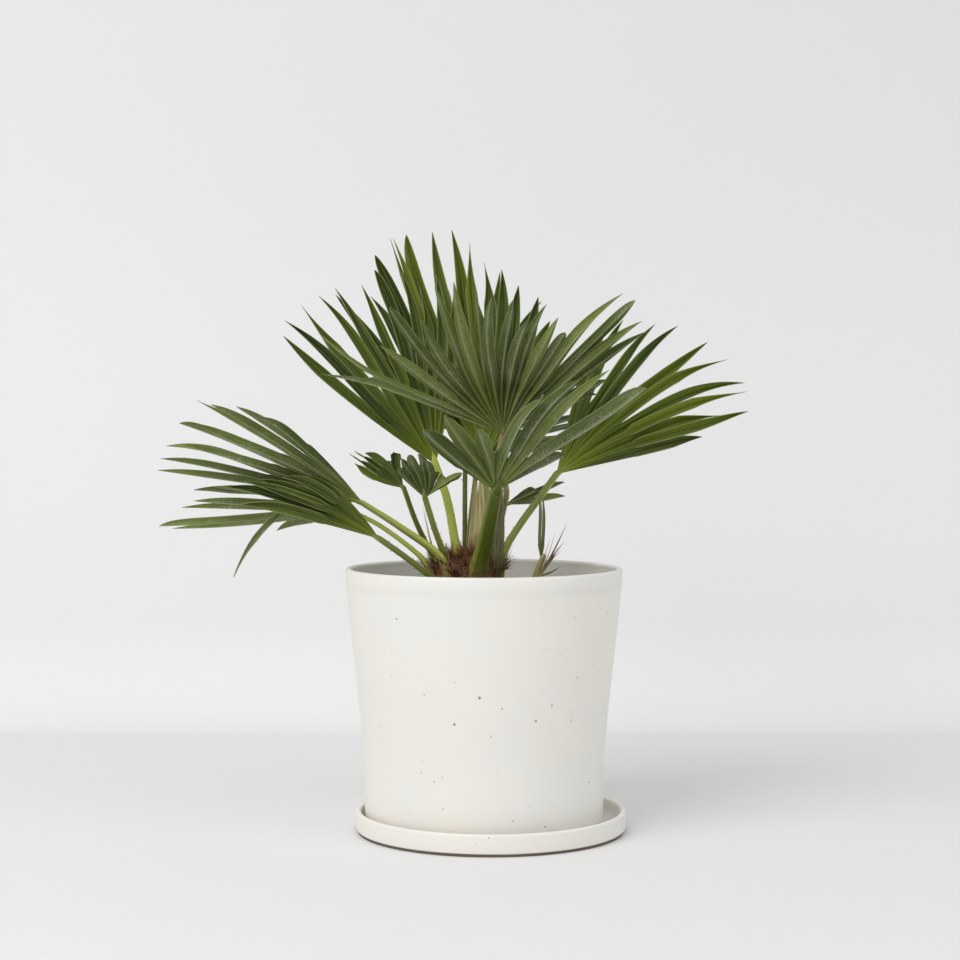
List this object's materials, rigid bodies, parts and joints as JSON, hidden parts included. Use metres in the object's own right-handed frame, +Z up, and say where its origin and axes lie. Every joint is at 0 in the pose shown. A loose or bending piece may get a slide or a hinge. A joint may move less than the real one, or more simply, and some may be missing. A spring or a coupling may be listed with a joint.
{
  "type": "potted dwarf fan palm",
  "caption": "Young dwarf fan palm with pleated fan fronds on spiny stalks, in a tapered stoneware pot on a matching saucer.",
  "frame": {"origin": "centre of the saucer's flat underside, on the surface the plant stands on", "axes": "+Z up along the pot, -Y towards the viewer, +X to the viewer's right"},
  "size_m": [0.5475, 0.2926, 0.5625],
  "materials": {
    "glazed_stoneware": "satin, sparse dark speckles",
    "soil": "matte, crumbly",
    "crown_fibre": "matte, fibrous",
    "dry_sheath": "matte, fibrous",
    "stalk_green": "satin",
    "leaf_green": "satin",
    "sucker_sheath_green": "matte"
  },
  "bodies": {
    "root": {"blade_back_right": "leaf_green", "blade_back_tall": "leaf_green", "blade_centre_tall": "leaf_green", "blade_front_lower": "leaf_green", "blade_front_upper": "leaf_green", "blade_left_low_back": "leaf_green", "blade_left_low_front": "leaf_green", "blade_left_low_middle": "leaf_green", "blade_left_small_inner": "leaf_green", "blade_left_small_outer": "leaf_green", "blade_left_upper": "leaf_green", "blade_right": "leaf_green", "blade_right_small": "leaf_green", "crown": "crown_fibre", "pot": "glazed_stoneware", "saucer": "glazed_stoneware", "sheath_grey": "dry_sheath", "sheath_tan": "dry_sheath", "soil": "soil", "stalk_back_right": "stalk_green", "stalk_back_tall": "stalk_green", "stalk_centre_tall": "stalk_green", "stalk_front_lower": "stalk_green", "stalk_front_upper": "stalk_green", "stalk_left_low_back": "stalk_green", "stalk_left_low_front": "stalk_green", "stalk_left_low_middle": "stalk_green", "stalk_left_small_inner": "stalk_green", "stalk_left_small_outer": "stalk_green", "stalk_left_upper": "stalk_green", "stalk_right": "stalk_green", "stalk_right_small": "stalk_green", "sucker_leaf": "leaf_green", "sucker_sheath": "sucker_sheath_green"}
  },
  "joints": []
}
